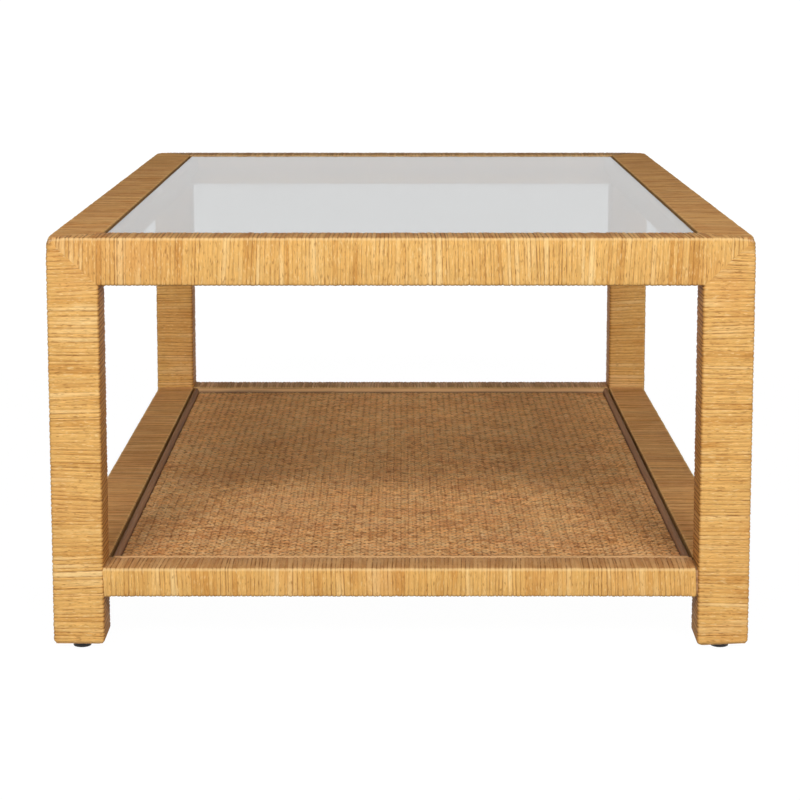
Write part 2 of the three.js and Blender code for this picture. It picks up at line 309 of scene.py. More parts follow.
def cut_all(place, normal, **settings):
    """Cuts the whole mesh in edit mode along a plane."""
    bpy.ops.mesh.select_all(action="SELECT")
    cut(place, normal, **settings)


def cut_away(piece, place, normal):
    """Removes what lies beyond a plane, on the side that its normal points to."""
    edit(piece)
    cut_all(place, Vector(normal).normalized(), clear_outer=True)
    close_edit()


def stray(piece, spacing, strength, direction, axis=None, squeeze=1.0, seed=0.0):
    """Moves points by smooth noise, squeezed along one axis. Along normals they only sink in."""
    guide = bpy.data.objects.new("stray_guide", None)
    bpy.context.collection.objects.link(guide)
    if axis is not None:
        guide.scale[axis] = squeeze
    guide.location = (seed * 0.37, seed * 0.53, seed * 0.71)
    bpy.context.view_layer.update()
    texture = bpy.data.textures.new("stray", "CLOUDS")
    texture.noise_scale = spacing
    texture.noise_depth = 0
    mid_level = 1.0 if direction == "NORMAL" else 0.5
    apply_modifier(
        piece, "DISPLACE", texture=texture, texture_coords="OBJECT", texture_coords_object=guide,
        direction=direction, mid_level=mid_level, strength=strength,
    )
    bpy.data.objects.remove(guide)
    bpy.data.textures.remove(texture)


def rows_of(items, key):
    """A place or direction of each point or face of a mesh, as rows of three numbers."""
    flat = np.empty(len(items) * 3, dtype=np.float32)
    items.foreach_get(key, flat)
    return flat.reshape(-1, 3)


def store(mesh, name, domain, values):
    """Keeps one number for each point or face under a name that materials can read."""
    layer = mesh.attributes.new(name, "FLOAT", domain)
    layer.data.foreach_set("value", np.asarray(values, dtype=np.float32))


# Winding


def wind(name, axis, low, high, number, outward=0):
    """Split rattan wound round a member between two corners, one strip's width to each turn."""
    rattan = bpy.context.scene.table_rattan
    span = high[axis] - low[axis]
    turns = max(1, round(span / rattan.pitch))
    pitch = span / turns
    near_end = pitch * 0.01
    first_high = high.copy()
    first_high[axis] = low[axis] + pitch
    piece = box_piece(name, low, first_high)
    edit(piece)
    choose("FACE", lambda face: abs(face.normal[axis]) > FACING)
    bpy.ops.mesh.delete(type="FACE")
    choose("EDGE", lambda edge: abs((edge.verts[0].co - edge.verts[1].co)[axis]) > pitch / 2)
    bevel_edges(rattan.corner_radius, rattan.corner_steps)
    for share in (rattan.shoulder, 1 - rattan.shoulder):
        place = low.copy()
        place[axis] += share * pitch
        cut_all(place, unit(axis))
    choose("VERT", lambda point: not near_end < point.co[axis] - low[axis] < pitch - near_end)
    shrink = [1 - 2 * rattan.groove / (high[i] - low[i]) for i in range(3)]
    shrink[axis] = 1
    bpy.ops.transform.resize(value=shrink, center_override=(low + first_high) / 2)
    close_edit()
    repeat(piece, turns, unit(axis) * pitch, use_merge_vertices=True, merge_threshold=near_end)
    mesh = piece.data
    points = rows_of(mesh.vertices, "co")
    along = (points[:, axis] - low[axis]) / pitch
    crown = np.clip(np.abs(along - np.round(along)) / rattan.shoulder, 0, 1)
    store(mesh, "crown", "POINT", crown)
    turn = np.floor((rows_of(mesh.polygons, "center")[:, axis] - low[axis]) / pitch)
    store(mesh, "turn", "FACE", turn + FIRST_TURNS_APART * number)
    # How far each face looks up, by which the material paints shade and sheen on upward faces
    upward = np.clip(rows_of(mesh.polygons, "normal")[:, Z], 0, 1)
    store(mesh, "upward", "FACE", upward * upward)
    side = Y if axis == X else X
    # Where a rail's edges get a painted highlight and painted shade
    if outward:
        store(mesh, "bend", "POINT", top_bends(points, side, low, high, outward))
    chances = np.random.default_rng(number)
    joints = np.arange(turns + 1) + chances.uniform(-1, 1, turns + 1) * rattan.variety
    joints[0], joints[-1] = 0, turns
    points[:, axis] = low[axis] + pitch * np.interp(along, np.arange(turns + 1), joints)
    mesh.vertices.foreach_set("co", points.ravel())
    letter = "XYZ"[axis]
    stray(piece, 0.022, rattan.unevenness, "NORMAL", axis, 0.16, number)
    stray(piece, 0.03, rattan.wander, letter, axis, 0.35, number + 31)
    stray(piece, 0.11, rattan.drift, letter, axis, 1.0, number + 62)
    return piece


def top_bends(points, side, low, high, outward):
    """Above 0 over a rail's top edges, for a painted highlight, and below 0 underneath and low on
    its inner bend, for painted shade.
    """
    radius = bpy.context.scene.table_rattan.corner_radius
    depth = high[Z] - points[:, Z]
    reaches = points[:, side] - low[side], high[side] - points[:, side]
    inset = np.maximum(np.minimum(*reaches), depth) / radius
    inner = reaches[0] if outward > 0 else reaches[1]
    # Painted shade low on the rail's inner bend and underneath the rail
    sheltered = (inner < 0.3 * radius) & (depth > 0.3 * radius) & (depth < 1.2 * radius)
    underneath = points[:, Z] - low[Z] < 0.2 * radius
    # Painted highlight over the top edges, weaker along the inner edges of the side rails
    brightness_shift = np.clip(1 - inset, 0, 1)
    if side == X:
        brightness_shift = np.where(inner < radius, 0.3 * brightness_shift, brightness_shift)
    brightness_shift = np.where(sheltered, -0.5, brightness_shift)
    return np.where(underneath, -0.4, brightness_shift)


def surface(piece, material, degrees):
    """Smooths a piece's shading up to an angle and gives it its material."""
    work_on(piece)
    bpy.ops.object.shade_smooth_by_angle(angle=math.radians(degrees))
    piece.data.materials.clear()
    piece.data.materials.append(material)


def finish_winding(piece, node, material):
    """Gives a winding its cut edges, shading, finish and place on the frame."""
    wall = bpy.context.scene.table_rattan.wall
    apply_modifier(piece, "SOLIDIFY", thickness=wall, offset=-1, use_rim=True, use_rim_only=True)
    surface(piece, material, 62)
    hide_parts(node)
    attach(piece, "frame")


def soften_corner(piece, ends):
    """Presses a winding round where three faces of the table meet at an outer top corner."""
    rattan = bpy.context.scene.table_rattan
    radius = rattan.soft_corner
    corner = outer_corner(*ends)
    inward = Vector((-ends[X], -ends[Y], -1))
    cut_shares, cut_reach = (0.3, 0.65, 1.1, 1.7), 2.4 * radius
    press_reach, press_fade = 2.2 * radius, 1.3 * radius
    edit(piece)
    for axis in (X, Y, Z):
        for share in cut_shares:
            choose("FACE", lambda face: all(
                (face.calc_center_median()[i] - corner[i]) * inward[i] < cut_reach
                for i in range(3)))
            cut(corner + inward * share * radius, unit(axis))
    close_edit()
    points = rows_of(piece.data.vertices, "co")
    crown = np.empty(len(points), dtype=np.float32)
    piece.data.attributes["crown"].data.foreach_get("value", crown)
    depth = (points - np.array(corner)) * np.array(inward)
    short = np.clip(radius - depth, 0, None)
    length = np.maximum(np.linalg.norm(short, axis=1), 1e-9)
    wanted = radius - rattan.groove * (1 - crown)
    moved = depth + short - short * np.minimum(1, wanted / length)[:, None]
    near = np.clip((press_reach - depth.max(axis=1)) / press_fade, 0, 1)
    near = (near * near * (3 - 2 * near))[:, None]
    depth = depth + (moved - depth) * near
    points = np.array(corner) + depth * np.array(inward)
    piece.data.vertices.foreach_set("co", points.astype(np.float32).ravel())
    piece.data.update()


def outer_corner(across, along):
    """The table's outer top corner on that side in X and Y."""
    return Vector((across * table_high[X], along * table_high[Y], table_high[Z]))


def leg_plane(axis, sign):
    """The normal of the mitre between a leg and the rail along an axis, pointing to the rail."""
    normal = Vector((0, 0, 1 / rail_height))
    normal[axis] = -sign / member_side
    return normal


# Materials


class Nodes:
    """A node tree, built one node at a time."""

    def __init__(self, tree):
        self.tree = tree

    def node(self, kind, values=None, **settings):
        """One node, with its settings, and its sockets given values or links."""
        made = self.tree.nodes.new(kind)
        for key, value in settings.items():
            setattr(made, key, value)
        for socket, value in (values or {}).items():
            self.feed(made.inputs[socket], value)
        return made

    def feed(self, socket, value):
        """Sets a socket to a number or colour, or links it to another node's output."""
        if isinstance(value, bpy.types.NodeSocket):
            self.tree.links.new(value, socket)
        elif socket.type == "RGBA" and len(value) == 3:
            socket.default_value = (*value, 1)
        else:
            socket.default_value = value

    def place(self, scale, offset=(0, 0, 0)):
        """Object coordinates, stretched and shifted."""
        source = self.node("ShaderNodeTexCoord").outputs["Object"]
        values = {"Vector": source, "Scale": scale, "Location": offset}
        return self.node("ShaderNodeMapping", values).outputs["Vector"]

    def noise(self, scale, offset=(0, 0, 0), detail=2.0, roughness=0.5):
        """Smooth noise from 0 to 1, stretched and shifted."""
        vector = self.place(scale, offset)
        values = {"Vector": vector, "Scale": 1.0, "Detail": detail, "Roughness": roughness}
        return self.node("ShaderNodeTexNoise", values).outputs["Fac"]

    def attribute(self, name):
        """A number kept on the mesh."""
        return self.node("ShaderNodeAttribute", attribute_name=name).outputs["Fac"]

    def chance(self, number):
        """A random number from 0 to 1 for each whole number."""
        made = self.node("ShaderNodeTexWhiteNoise", {"W": number}, noise_dimensions="1D")
        return made.outputs["Value"]

    def sum(self, operation, first, second=0.0, third=0.0):
        """Arithmetic on numbers."""
        made = self.node("ShaderNodeMath", operation=operation)
        for socket, value in zip(made.inputs, (first, second, third)):
            self.feed(socket, value)
        return made.outputs[0]

    def plus(self, first, second):
        """Two numbers added."""
        return self.sum("ADD", first, second)

    def times(self, first, second):
        """Two numbers multiplied."""
        return self.sum("MULTIPLY", first, second)

    def remap(self, value, low, high, new_low=0.0, new_high=1.0):
        """A number moved from one range to another and held there."""
        limits = {"From Min": low, "From Max": high, "To Min": new_low, "To Max": new_high}
        return self.node("ShaderNodeMapRange", {"Value": value, **limits}).outputs["Result"]

    def ramp(self, value, places, colours):
        """A colour picked along a row of colours, each at its place from 0 to 1."""
        made = self.node("ShaderNodeValToRGB", {"Fac": value})
        steps = made.color_ramp.elements
        while len(steps) < len(colours):
            steps.new(0.5)
        for step, place, colour in zip(steps, places, colours):
            step.position = place
            step.color = (*colour, 1)
        return made.outputs["Color"]

    def mix(self, share, first, second, blend="MIX"):
        """Two colours mixed."""
        values = {"Factor": share, 6: first, 7: second}
        return self.node("ShaderNodeMix", values, data_type="RGBA", blend_type=blend).outputs[2]

    def tinge(self, colour, value, start, full, share, tint):
        """A colour that takes up to a share of a tint as a number goes from start to full."""
        return self.mix(self.remap(value, start, full, 0, share), colour, tint)

    def shade(self, colour, level):
        """A colour multiplied by a number."""
        grey = self.node("ShaderNodeCombineColor", {"Red": level, "Green": level, "Blue": level})
        return self.mix(1.0, colour, grey.outputs["Color"], "MULTIPLY")


class Look(Nodes):
    """A new material's nodes, round its principled shader."""

    def __init__(self, name):
        self.material = bpy.data.materials.new(name)
        self.material.use_nodes = True
        super().__init__(self.material.node_tree)
        self.shader = self.tree.nodes["Principled BSDF"]

    def bump(self, height, distance):
        """Fine relief on the shading."""
        values = {"Height": height, "Distance": distance, "Strength": 1.0}
        made = self.node("ShaderNodeBump", values)
        self.feed(self.shader.inputs["Normal"], made.outputs["Normal"])

    def overlay(self, share, second):
        """Shows a share of a second shader in place of the principled one."""
        values = {0: share, 1: self.shader.outputs[0], 2: second.outputs[0]}
        made = self.node("ShaderNodeMixShader", values)
        self.feed(self.tree.nodes["Material Output"].inputs["Surface"], made.outputs[0])

    def set(self, **sockets):
        """Values or links for the shader's own sockets, named with underscores for spaces."""
        for key, value in sockets.items():
            self.feed(self.shader.inputs[key.replace("_", " ")], value)


def stretched(axis, along, across):
    """A scale that is coarse along a strip and fine across it, for strips wound about an axis."""
    scale = [along, along, along]
    scale[axis] = across
    return scale


# The deep and the pale tone of the faces that look up, painted shade and sheen that is greyer on
# the back rails, and the share that they take there
PAINTED_TOP_LIGHT = {
    "legs": (srgb(192, 106, 62), srgb(255, 198, 134), 0.5),
    "top_front": (srgb(192, 106, 62), srgb(255, 196, 130), 0.5),
    "top_sides": (srgb(192, 106, 62), srgb(255, 198, 134), 0.5),
    "top_back": (srgb(160, 112, 82), srgb(226, 180, 140), 0.6),
    "shelf_front": (srgb(176, 112, 72), srgb(222, 168, 118), 0.55),
    "shelf_sides": (srgb(164, 97, 60), srgb(230, 166, 112), 0.54),
    "shelf_back": (srgb(136, 96, 74), srgb(206, 162, 132), 0.66),
}


def split_rattan(name, axis, deep, pale, share):
    """Split rattan wound about an axis. Upward faces take a share of a deep to a pale tone as
    painted shade and sheen; the legs' inner faces take painted shade, and the rails' edges a
    painted highlight above and painted shade below.
    """
    rattan = bpy.context.scene.table_rattan
    look = Look(name)
    turn = look.attribute("turn")
    crown = look.attribute("crown")
    own = look.chance(turn)
    drift = look.noise(stretched(axis, 14, 60), detail=1.0)
    runs = look.remap(drift, 0.32, 0.68)
    tone = look.plus(look.times(own, 0.55), look.times(runs, 0.4))
    tones = rattan.amber, rattan.honey, rattan.honey, rattan.straw
    colour = look.ramp(tone, (0.06, 0.36, 0.62, 0.92), tones)
    streaks = look.noise(stretched(axis, 70, 1000), detail=3.0, roughness=0.65)
    colour = look.shade(colour, look.remap(streaks, 0.3, 0.7, 0.8, 1.12))
    cloudy = look.noise((9, 9, 9), (3, 1, 7))
    colour = look.tinge(colour, cloudy, 0.46, 0.7, 0.5, srgb(212, 150, 84))
    specks = look.noise(stretched(axis, 150, 760), (2, 8, 5), 1.0)
    colour = look.tinge(colour, specks, 0.62, 0.72, 0.55, srgb(150, 100, 50))
    colour = look.tinge(colour, specks, 0.38, 0.28, 0.4, srgb(250, 222, 164))
    spread = {"Vector": look.place(stretched(axis, 34, 110)), "Scale": 1.0}
    knots = look.node("ShaderNodeTexVoronoi", spread).outputs["Distance"]
    colour = look.mix(look.remap(knots, 0.04, 0.11, 0.6, 0), colour, srgb(140, 92, 46))
    # Painted shade and sheen on the faces that look up: a deep to pale tone in bands, laid over the
    # strips' own colour
    upward = look.attribute("upward")
    bands = look.noise(stretched(axis, 22, 190), (4, 4, 2))
    shift = look.remap(look.chance(look.plus(turn, 0.3)), 0, 1, -0.16, 0.16)
    painted_top_tone = look.mix(look.remap(look.plus(bands, shift), 0.34, 0.66), deep, pale)
    colour = look.mix(look.times(upward, share), colour, painted_top_tone)
    # Painted shade on the legs' inner faces, towards a dark brown
    inward = look.attribute("inward")
    colour = look.mix(look.times(inward, 0.5), colour, srgb(172, 98, 26))
    valley = look.sum("SUBTRACT", 1.0, crown)
    depth = look.sum("POWER", valley, 1.5)
    tight = look.sum("POWER", look.chance(look.plus(turn, 0.5)), 1.8)
    tight = look.plus(tight, look.remap(drift, 0.45, 0.7, -0.05, 0.35))
    depth = look.times(depth, look.remap(tight, 0, 1, 0.22, 1.0))
    broken = look.noise(stretched(axis, 90, 40), (6, 3, 1), 1.0)
    depth = look.times(depth, look.remap(broken, 0.32, 0.6, 0.35, 1.0))
    depth = look.times(depth, look.sum("MULTIPLY_ADD", upward, 0.6, 1.0))
    # Painted shade deeper in the joints on the legs' inner faces
    sheltered = look.times(valley, look.times(inward, 1.2))
    depth = look.sum("MAXIMUM", depth, sheltered)
    colour = look.mix(depth, colour, rattan.joint_brown)
    # Painted highlight along the rails' top edges, and painted shade under the rails and low on
    # their inner bend
    bend = look.attribute("bend")
    colour = look.mix(look.times(bend, 0.8), colour, srgb(252, 222, 162))
    colour = look.mix(look.times(bend, -1.5), colour, srgb(96, 66, 44))
    look.set(
        Base_Color=colour,
        Roughness=look.remap(streaks, 0.2, 0.8, 0.48, 0.66),
        Specular_IOR_Level=0.07,
    )
    look.bump(streaks, 0.00025)
    return look.material


def rail_rattan(level, side):
    """The rattan of one group of rails, made once."""
    group = f"{level}_{side if side in ('front', 'back') else 'sides'}"
    name = f"rattan_on_{group}"
    made = bpy.data.materials.get(name)
    return made or split_rattan(name, Y if group.endswith("sides") else X, *PAINTED_TOP_LIGHT[group])


def woven_rattan():
    """The mat's strands, each with its own tone and blotched, with painted shade where they dip at
    the crossings.
    """
    shelf = bpy.context.scene.table_shelf
    look = Look("mat_strands")
    own = look.chance(look.attribute("strand"))
    piecewise = look.chance(look.attribute("float"))
    patch = look.noise((110, 170, 130), detail=1.0)
    broad = look.noise((9, 16, 1), (4, 2, 0))
    tone = look.plus(look.times(own, 0.12), look.times(patch, 0.55))
    tone = look.plus(tone, look.times(piecewise, 0.42))
    tone = look.plus(tone, look.remap(broad, 0.3, 0.7, -0.12, 0.12))
    tones = shelf.mat_dark, srgb(250, 186, 118), shelf.mat_light
    colour = look.ramp(tone, (0.2, 0.5, 0.8), tones)
    ruddy = look.noise((24, 32, 20), (2, 6, 8))
    colour = look.tinge(colour, ruddy, 0.42, 0.62, 0.22, srgb(214, 132, 88))
    fibres = look.noise((700, 700, 700))
    brightness_shift = look.noise((90, 90, 40), (7, 1, 3), 1.0)
    level = look.remap(fibres, 0.3, 0.7, 0.84, 1.08)
    level = look.times(level, look.remap(brightness_shift, 0.32, 0.68, 0.87, 1.13))
    colour = look.shade(colour, level)
    flecks = look.noise((150, 300, 100), (1, 5, 0), 1.0)
    colour = look.tinge(colour, flecks, 0.6, 0.7, 0.75, srgb(124, 72, 36))
    colour = look.tinge(colour, flecks, 0.38, 0.28, 0.6, srgb(255, 214, 160))
    # Painted shade where the strands dip under one another
    gaps = look.noise((110, 150, 100), (9, 2, 4), 1.0)
    depth = look.remap(look.attribute("crown"), 0.7, 0.0)
    depth = look.times(depth, look.remap(gaps, 0.33, 0.62, 0.15, 1.0))
    colour = look.mix(depth, colour, srgb(98, 48, 22))
    look.set(
        Base_Color=colour,
        Roughness=look.remap(fibres, 0.2, 0.8, 0.5, 0.68),
        Specular_IOR_Level=0.12,
    )
    look.bump(fibres, 0.0002)
    return look.material


def grained_wood(name, pale, deep, axis, fineness=1.0):
    """Wood with its grain along an axis, and painted shade along the foot of a moulding."""
    look = Look(name)
    scale = [160 * fineness] * 3
    scale[axis] = 5 * fineness
    grain = look.noise(scale, detail=4.0, roughness=0.62)
    rings = look.noise([value * 0.16 for value in scale], (5, 5, 5), 1.0)
    tone = look.plus(look.times(grain, 0.6), look.times(rings, 0.5))
    bright = tuple(v * 1.08 for v in pale)
    colour = look.ramp(tone, (0.36, 0.52, 0.75), (deep, pale, bright))
    # Painted shade along a moulding's foot, where it meets the mat
    foot = look.times(look.attribute("foot"), 0.75)
    colour = look.mix(foot, colour, srgb(70, 42, 24))
    look.set(Base_Color=colour, Roughness=look.remap(grain, 0.2, 0.8, 0.55, 0.75))
    look.bump(grain, 0.0002)
    return look.material


def clear_glass():
    """Clear plate glass with a trace of grey in it, which lets lamps light what lies below."""
    glass = bpy.context.scene.table_glass
    look = Look("plate_glass")
    ripple = look.noise((4, 4, 4), detail=3.0)
    look.set(
        Base_Color=glass.tint,
        Roughness=look.remap(ripple, 0.3, 0.7, 0.0, 0.02),
        IOR=1.5,
        Transmission_Weight=glass.clarity,
    )
    passing = look.node("ShaderNodeBsdfTransparent", {"Color": (0.74, 0.74, 0.73)})
    look.overlay(look.node("ShaderNodeLightPath").outputs["Is Shadow Ray"], passing)
    return look.material


def moulded_plastic(name, colour, roughness):
    """Plastic or rubber with the fine matt of its mould."""
    look = Look(name)
    grit = look.noise((1400, 1400, 1400))
    dark = tuple(v * 0.8 for v in colour)
    look.set(
        Base_Color=look.mix(grit, dark, colour),
        Roughness=look.remap(grit, 0.2, 0.8, roughness - 0.06, roughness + 0.08),
    )
    look.bump(grit, 0.00008)
    return look.material


def turned_metal(name, colour, roughness):
    """Metal with the fine rings that a lathe leaves."""
    look = Look(name)
    rings = look.noise((60, 60, 2600))
    dark = tuple(v * 0.82 for v in colour)
    look.set(
        Base_Color=look.mix(rings, dark, colour),
        Roughness=look.remap(rings, 0.2, 0.8, roughness - 0.05, roughness + 0.1),
        Metallic=1.0,
    )
    look.bump(rings, 0.00005)
    return look.material


def refinish(names, material):
    """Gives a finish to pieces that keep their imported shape."""
    for name in names:
        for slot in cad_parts[name].material_slots:
            slot.material = material


# Pieces


class TABLE_OT_wind_legs(Operator):
    """Wind split rattan round the four legs, mitred into the top rails"""

    bl_idname = "table.wind_legs"
    bl_label = "Wind the legs"

    # The height of the foot that the last strip is turned under, and the share of the outline
    # and the rise of each of its steps
    TUCK = 0.0062
    FOOT_STEPS = (
        (1.016, -0.0005), (0.985, -0.0020), (0.95, -0.0018), (0.90, -0.0014), (0.94, 0.0012)
    )

    def execute(self, context):
        material = split_rattan("rattan_on_legs", Z, *PAINTED_TOP_LIGHT["legs"])
        for number, (corner, (across, along)) in enumerate(CORNERS.items()):
            node = f"leg_wrap_{corner}"
            low, high = corners_of(node)
            start = Vector((low[X], low[Y], low[Z] + self.TUCK))
            piece = wind(f"strips_leg_{corner}", Z, start, high, number)
            # How far each face looks in under the table, by which the material paints shade on the
            # inner faces
            inward = rows_of(piece.data.polygons, "normal") @ np.array((-across, -0.3 * along, 0))
            store(piece.data, "inward", "FACE", np.clip(inward, 0, 1))
            self.turn_under(piece, start, low, high)
            top = outer_corner(across, along)
            cut_away(piece, top, leg_plane(X, across))
            cut_away(piece, top, leg_plane(Y, along))
            soften_corner(piece, (across, along))
            finish_winding(piece, node, material)
        return {"FINISHED"}

    def turn_under(self, piece, start, low, high):
        """Rounds the last strip over the foot of the leg and in against its core."""
        edit(piece)
        choose("VERT", lambda point: point.is_boundary and point.co[Z] < start[Z] + 0.002)
        middle = (low + high) / 2
        bpy.ops.mesh.select_mode(type="EDGE")
        for scale, rise in self.FOOT_STEPS:
            bpy.ops.mesh.extrude_region()
            bpy.ops.transform.resize(value=(scale, scale, 1), center_override=middle)
            lift(rise)
        close_edit()
        crown = piece.data.attributes["crown"].data
        for point, share in zip(piece.data.vertices, crown):
            if point.co[Z] < start[Z] - 0.0004:
                share.value = 0.8


class TABLE_OT_wind_top_rails(Operator):
    """Wind split rattan round the four top rails, mitred at every corner"""

    bl_idname = "table.wind_top_rails"
    bl_label = "Wind the top rails"

    def execute(self, context):
        for number, (side, (across, along)) in enumerate(SIDES.items()):
            node = f"top_rail_wrap_{side}"
            axis = X if along else Y
            low, high = corners_of(node)
            outward = across + along
            piece = wind(f"strips_top_rail_{side}", axis, low, high, number + 10, outward)
            for end in (-1, 1):
                ends = (end, along) if axis == X else (across, end)
                top = outer_corner(*ends)
                cut_away(piece, top, -leg_plane(axis, end))
                cut_away(piece, top, self.top_mitre(axis, ends))
                soften_corner(piece, ends)
            finish_winding(piece, node, rail_rattan("top", side))
        return {"FINISHED"}

    def top_mitre(self, axis, ends):
        """The normal of the mitre between two top rails, pointing away from this one."""
        normal = Vector((ends[X], -ends[Y], 0))
        return normal if axis == X else -normal


class TABLE_OT_wind_shelf_rails(Operator):
    """Wind split rattan round the four shelf rails, from leg to leg"""

    bl_idname = "table.wind_shelf_rails"
    bl_label = "Wind the shelf rails"

    def execute(self, context):
        for number, (side, (across, along)) in enumerate(SIDES.items()):
            node = f"shelf_rail_wrap_{side}"
            axis = X if along else Y
            low, high = corners_of(node)
            outward = across + along
            piece = wind(f"strips_shelf_rail_{side}", axis, low, high, number + 20, outward)
            self.raise_ends(piece, axis, low, high)
            finish_winding(piece, node, rail_rattan("shelf", side))
        return {"FINISHED"}

    def raise_ends(self, piece, axis, low, high):
        """Thickens the first and last turns, which are wound over the end of the strip."""
        pitch = bpy.context.scene.table_rattan.pitch
        edit(piece)
        choose("VERT", lambda point: min(
            point.co[axis] - low[axis], high[axis] - point.co[axis]) < 1.1 * pitch)
        swell = [1 + 0.0007 / (high[i] - low[i]) for i in range(3)]
        swell[axis] = 1
        bpy.ops.transform.resize(value=swell, center_override=(low + high) / 2)
        close_edit()


class TABLE_OT_weave_mat(Operator):
    """Weave the shelf's mat, two strands over and two under"""

    bl_idname = "table.weave_mat"
    bl_label = "Weave the mat"

    def execute(self, context):
        shelf = context.scene.table_shelf
        low, high = corners_of("shelf_mat")
        columns = round((high[X] - low[X]) / (4 * shelf.warp))
        rows = round((high[Y] - low[Y]) / (4 * shelf.weft))
        warp = (high[X] - low[X]) / columns / 4
        weft = (high[Y] - low[Y]) / rows / 4
        top = high[Z]
        parts = []
        for block_x, block_y in ((0, 0), (1, 0), (0, 1), (1, 1)):
            lengthwise = block_x == block_y
            for strand in (0, 1):
                corner = Vector((low[X] + 2 * warp * block_x, low[Y] + 2 * weft * block_y, top))
                if lengthwise:
                    corner[X] += strand * warp
                    size = (warp, 2 * weft)
                else:
                    corner[Y] += strand * weft
                    size = (2 * warp, weft)
                parts.append(self.float_strand(corner, size, lengthwise, shelf.dive))
        start_clean()
        for part in parts:
            part.select_set(True)
        piece = parts[0]
        context.view_layer.objects.active = piece
        bpy.ops.object.join()
        piece.name = piece.data.name = "woven_mat"
        for axis, count, step in ((X, columns, 4 * warp), (Y, rows, 4 * weft)):
            repeat(piece, count, unit(axis) * step)
        mesh = piece.data
        depth = 1.35 * shelf.dive
        store(mesh, "crown", "POINT", (rows_of(mesh.vertices, "co")[:, Z] - top + depth) / depth)
        centres = rows_of(mesh.polygons, "center")
        column = np.floor((centres[:, X] - low[X]) / warp)
        row = np.floor((centres[:, Y] - low[Y]) / weft)
        block_x, block_y = np.floor(column / 2), np.floor(row / 2)
        lengthwise = block_x % 2 == block_y % 2
        strand = np.where(lengthwise, column, FIRST_CROSS_STRAND + row)
        store(mesh, "strand", "FACE", strand)
        float_number = np.where(
            lengthwise,
            column + STRANDS_APART * block_y,
            FIRST_CROSS_FLOAT + row + STRANDS_APART * block_x,
        )
        store(mesh, "float", "FACE", float_number)
        stray(piece, 0.02, 0.0007, "Z", seed=41)
        stray(piece, 0.018, 0.0012, "X", seed=42)
        stray(piece, 0.018, 0.0010, "Y", seed=43)
        surface(piece, woven_rattan(), 50)
        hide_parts("shelf_mat")
        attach(piece, "frame")
        return {"FINISHED"}

    def float_strand(self, corner, size, lengthwise, dive):
        """One strand where it lies on top: high in the middle, low at its edges and ends."""
        start_clean()
        middle = corner + Vector((size[X] / 2, size[Y] / 2, 0))
        bpy.ops.mesh.primitive_grid_add(x_subdivisions=2, y_subdivisions=2, size=1, location=middle)
        strand = bpy.context.object
        strand.scale = (size[X], size[Y], 1)
        bpy.ops.object.transform_apply(location=True, rotation=False, scale=True)
        run, breadth = (Y, X) if lengthwise else (X, Y)
        edit(strand)
        choose("VERT", lambda point: abs(point.co[breadth] - middle[breadth]) > size[breadth] / 4)
        lift(-0.45 * dive)
        choose("VERT", lambda point: abs(point.co[run] - middle[run]) > size[run] / 4)
        lift(-0.9 * dive)
        close_edit()
        return strand


class TABLE_OT_lay_mouldings(Operator):
    """Lay the half-round mouldings round the edge of the mat"""

    bl_idname = "table.lay_mouldings"
    bl_label = "Lay the mouldings"

    def execute(self, context):
        shelf = context.scene.table_shelf
        mat_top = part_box("shelf_mat")[1][Z]
        for side, (across, along) in SIDES.items():
            node = f"shelf_moulding_{side}"
            axis, other = (X, Y) if along else (Y, X)
            low, high = corners_of(node)
            piece = self.half_round(f"moulding_{side}", axis, other, low, high, mat_top)
            middle = (low + high) / 2
            facing = Vector((-across, -along, 0))
            for end in (-1, 1):
                tip = middle + unit(axis) * end * (high[axis] - low[axis]) / 2
                tip[other] = (high if (across or along) > 0 else low)[other]
                cut_away(piece, tip, unit(axis) * end + facing)
            stray(piece, 0.05, 0.0006, "Z", seed=51)
            # The side mouldings take the darker tone as painted shade, the end mouldings the lit
            # one
            tone_with_painted_shade = shelf.end_moulding if along else shelf.side_moulding
            deep = tuple(v * 0.5 for v in tone_with_painted_shade)
            surface(piece, grained_wood(f"moulding_painted_shade_{side}", tone_with_painted_shade, deep, axis, 2.0), 50)
            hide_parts(node)
            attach(piece, "frame")
        return {"FINISHED"}

    def half_round(self, name, axis, other, low, high, mat_top):
        """A rod along an axis, its lower half cut off and its flat side let down on the panel."""
        start_clean()
        middle = (low + high) / 2
        middle[Z] = mat_top
        length = high[axis] - low[axis]
        radius = (high[other] - low[other]) / 2
        turn = (0, math.pi / 2, 0) if axis == X else (math.pi / 2, 0, 0)
        bpy.ops.mesh.primitive_cylinder_add(
            vertices=28, radius=radius, depth=length, end_fill_type="NOTHING", location=middle,
            rotation=turn,
        )
        piece = bpy.context.object
        piece.name = piece.data.name = name
        bpy.ops.object.transform_apply(location=True, rotation=True, scale=True)
        edit(piece)
        cut_all(middle, (0, 0, -1), clear_outer=True)
        bpy.ops.mesh.select_all(action="SELECT")
        squash = (high[Z] - mat_top) / radius
        bpy.ops.transform.resize(value=(1, 1, squash), center_override=middle)
        choose("EDGE", lambda edge: edge.is_boundary and all(
            abs(point.co[Z] - mat_top) < 1e-5 for point in edge.verts))
        bpy.ops.mesh.extrude_region()
        lift(low[Z] - mat_top)
        steps = 40
        for step in range(1, steps):
            cut_all(middle + unit(axis) * length * (step / steps - 0.5), unit(axis))
        close_edit()
        # How near each point lies to the mat, by which the moulding's material paints shade along
        # its foot
        height = (rows_of(piece.data.vertices, "co")[:, Z] - mat_top) / (high[Z] - mat_top)
        store(piece.data, "foot", "POINT", np.clip(1 - height / 0.5, 0, 1))
        return piece


